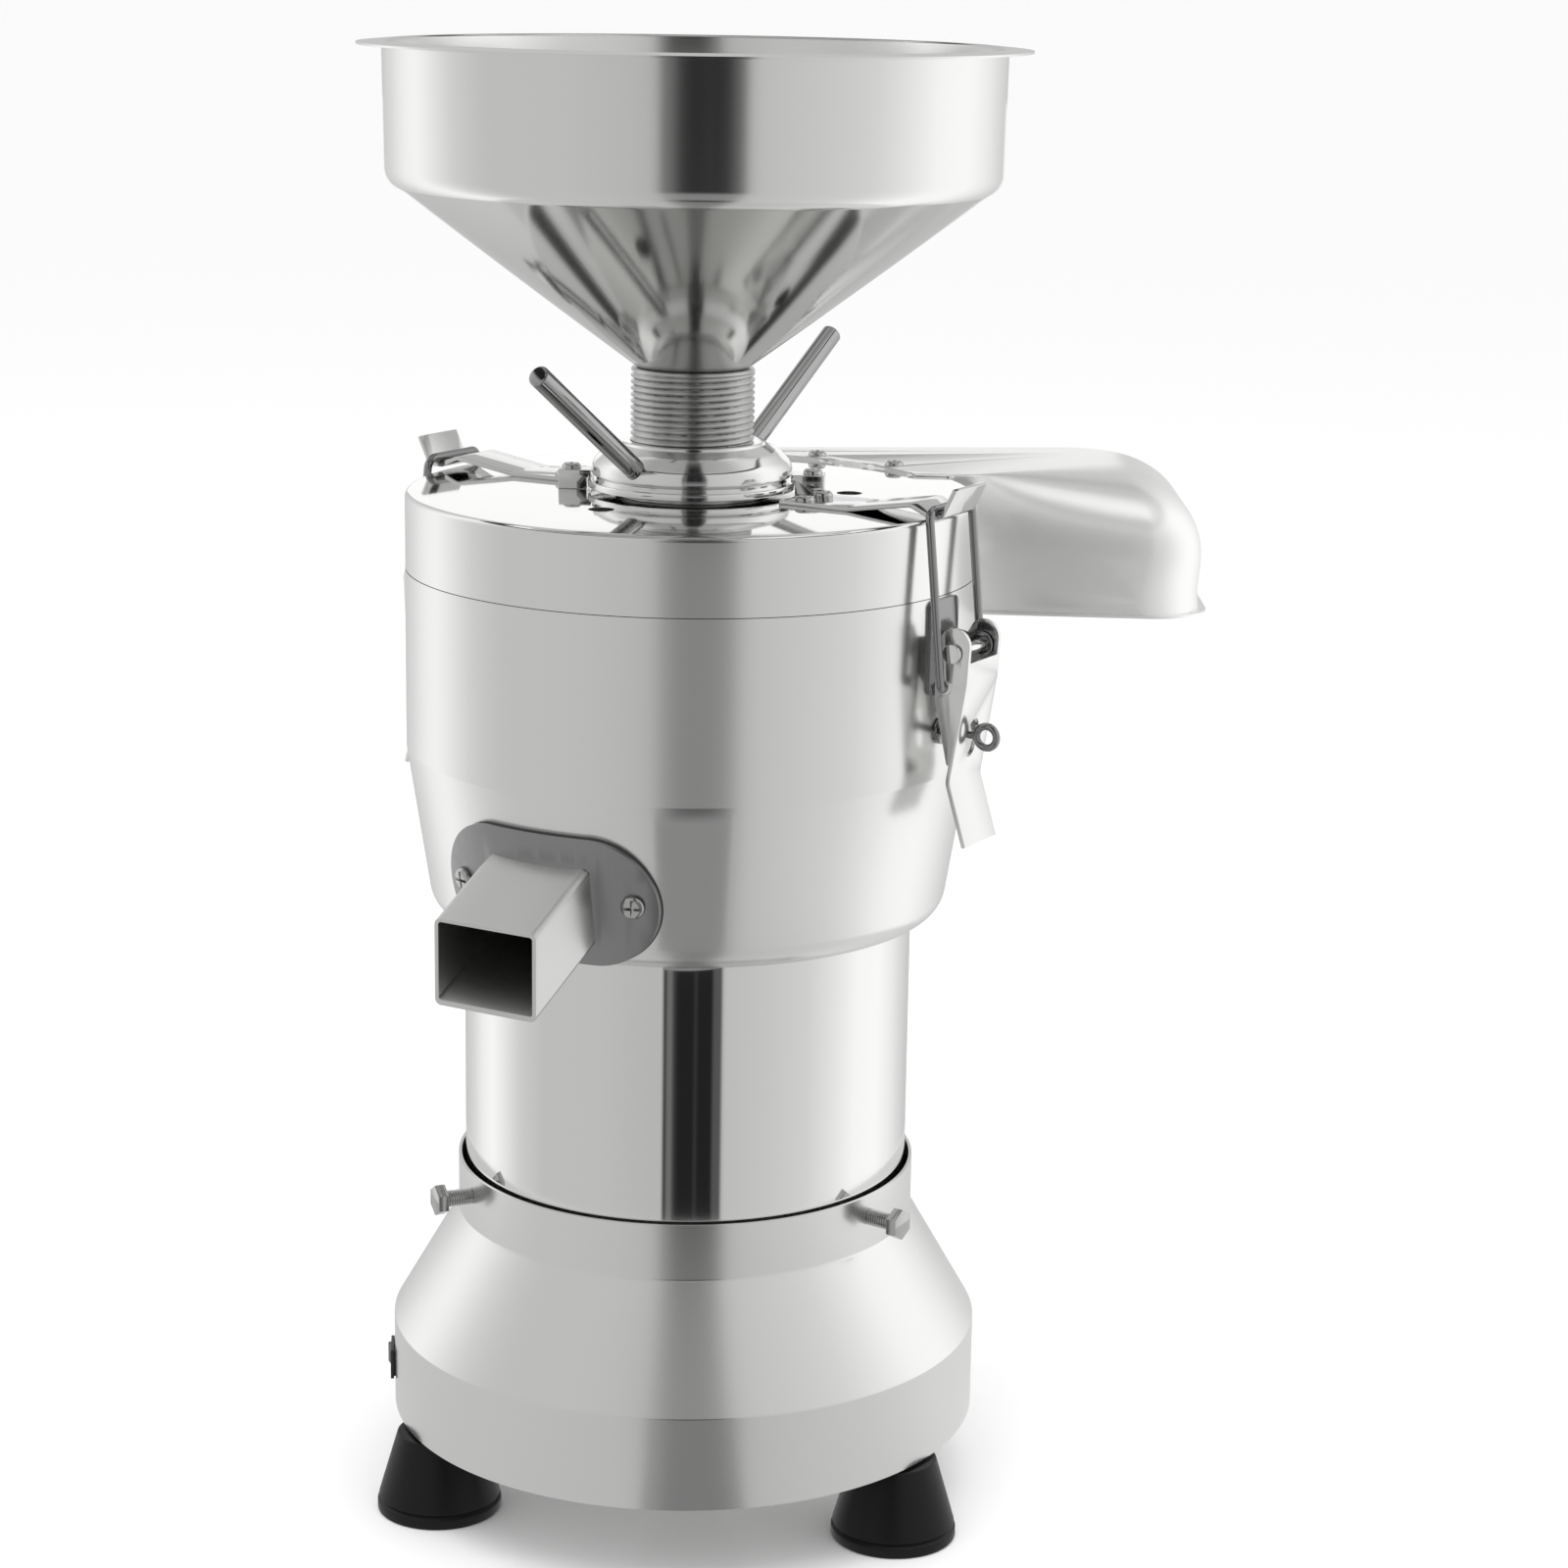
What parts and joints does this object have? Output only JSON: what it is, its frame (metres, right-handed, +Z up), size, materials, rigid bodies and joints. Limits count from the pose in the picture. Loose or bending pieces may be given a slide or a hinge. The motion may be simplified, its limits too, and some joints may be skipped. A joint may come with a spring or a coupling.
{
  "type": "soy milk machine",
  "caption": "Upright soy milk grinder and separator with a funnel hopper, clamped lid, side pulp chute, milk spout, motor column and flared base on rubber feet.",
  "frame": {"origin": "on the machine's upright axis, at the floor under its feet", "axes": "+Z up, +X towards the side with the pulp chute, -Y towards the front, the side that the milk spout is on"},
  "size_m": [0.4066, 0.3269, 0.6999],
  "materials": {
    "rubber": "matte black",
    "satin_steel": "satin stainless",
    "polished_steel": "polished stainless",
    "fastener_steel": "plain stainless",
    "turned_steel": "turned and polished",
    "aluminium": "cast and machined",
    "bearing_steel": "ground",
    "lamination": "bare laminations",
    "copper": "varnished copper wire",
    "stone": "bonded abrasive grit",
    "black_plastic": "gloss black",
    "white_plastic": "matte white",
    "zinc_steel": "zinc plated"
  },
  "bodies": {
    "frame": {"rubber_feet": "rubber", "foot_screws": "fastener_steel", "base_plate": "satin_steel", "base_shell": "polished_steel", "collar_bolts": "fastener_steel", "switch_frame": "black_plastic", "cable_gland": "black_plastic", "capacitor": "white_plastic", "capacitor_clamp": "zinc_steel", "motor_sleeve": "polished_steel", "lower_end_shield": "aluminium", "upper_end_shield": "aluminium", "lower_bearing": "bearing_steel", "upper_bearing": "bearing_steel", "stator": "lamination", "windings": "copper", "milk_chamber": "satin_steel", "chamber_seal": "rubber", "shaft_seal": "rubber", "spout_gasket": "rubber", "milk_spout": "satin_steel", "spout_screws": "fastener_steel", "right_bracket": "satin_steel", "left_bracket": "satin_steel", "right_latch_pin": "polished_steel", "left_latch_pin": "polished_steel", "right_staple": "polished_steel", "left_staple": "polished_steel"},
    "rotor": {"rotor_core": "lamination", "motor_shaft": "turned_steel", "rotor_plate": "satin_steel", "sieve_basket": "satin_steel", "lower_stone": "stone", "lock_nut": "fastener_steel"},
    "lid": {"lid_shell": "polished_steel", "lid_boss": "turned_steel", "tube_guide_screw": "fastener_steel", "chute_hood": "satin_steel", "chute_screws": "fastener_steel", "right_strap": "polished_steel", "left_strap": "polished_steel", "strap_screws": "fastener_steel", "nut_clips": "polished_steel", "clip_screws": "fastener_steel"},
    "nut": {"adjusting_nut": "turned_steel", "nut_handles": "turned_steel"},
    "tube": {"feed_tube": "polished_steel", "upper_carrier": "turned_steel", "upper_stone": "stone"},
    "hopper": {"hopper": "polished_steel"},
    "right_lever": {"right_lever": "polished_steel"},
    "left_lever": {"left_lever": "polished_steel"},
    "right_bail": {"right_bail": "polished_steel"},
    "left_bail": {"left_bail": "polished_steel"},
    "rocker": {"switch_rocker": "black_plastic"}
  },
  "joints": [
    {"name": "rotor_spin", "type": "hinge", "parent": "frame", "child": "rotor", "pos_m": [0, 0, 0.3], "axis": [0, 0, 1], "continuous": true},
    {"name": "lid_lift", "type": "slide", "parent": "frame", "child": "lid", "axis": [0, 0, 1], "range_m": [0, 0.15]},
    {"name": "nut_turn", "type": "hinge", "parent": "lid", "child": "nut", "pos_m": [0, 0, 0.505], "axis": [0, 0, 1], "range_deg": [-360, 120]},
    {"name": "tube_feed", "type": "slide", "parent": "lid", "child": "tube", "axis": [0, 0, 1], "range_m": [-0.0011, 0.0031]},
    {"name": "hopper_lift", "type": "slide", "parent": "tube", "child": "hopper", "axis": [0, 0, 1], "range_m": [0, 0.1]},
    {"name": "rocker_tilt", "type": "hinge", "parent": "frame", "child": "rocker", "pos_m": [-0.14046, -0.01229, 0.06], "axis": [0, 0, -1], "range_deg": [0, 16]},
    {"name": "right_lever_swing", "type": "hinge", "parent": "frame", "child": "right_lever", "pos_m": [0.12817, -0.074, 0.434], "axis": [-0.5, -0.866, 0], "range_deg": [0, 150]},
    {"name": "right_bail_swing", "type": "hinge", "parent": "lid", "child": "right_bail", "pos_m": [0.11865, -0.0685, 0.4985], "axis": [-0.5, -0.866, 0], "range_deg": [0, 20]},
    {"name": "left_lever_swing", "type": "hinge", "parent": "frame", "child": "left_lever", "pos_m": [-0.12817, 0.074, 0.434], "axis": [0.5, 0.866, 0], "range_deg": [0, 150]},
    {"name": "left_bail_swing", "type": "hinge", "parent": "lid", "child": "left_bail", "pos_m": [-0.11865, 0.0685, 0.4985], "axis": [0.5, 0.866, 0], "range_deg": [0, 20]}
  ],
  "couplings": [
    {"joint": "tube_feed", "follows": "nut_turn", "m_per_rad": -0.00047746},
    {"joint": "right_bail_swing", "follows": "right_lever_swing", "ratio": 0.13333},
    {"joint": "left_bail_swing", "follows": "left_lever_swing", "ratio": 0.13333}
  ]
}
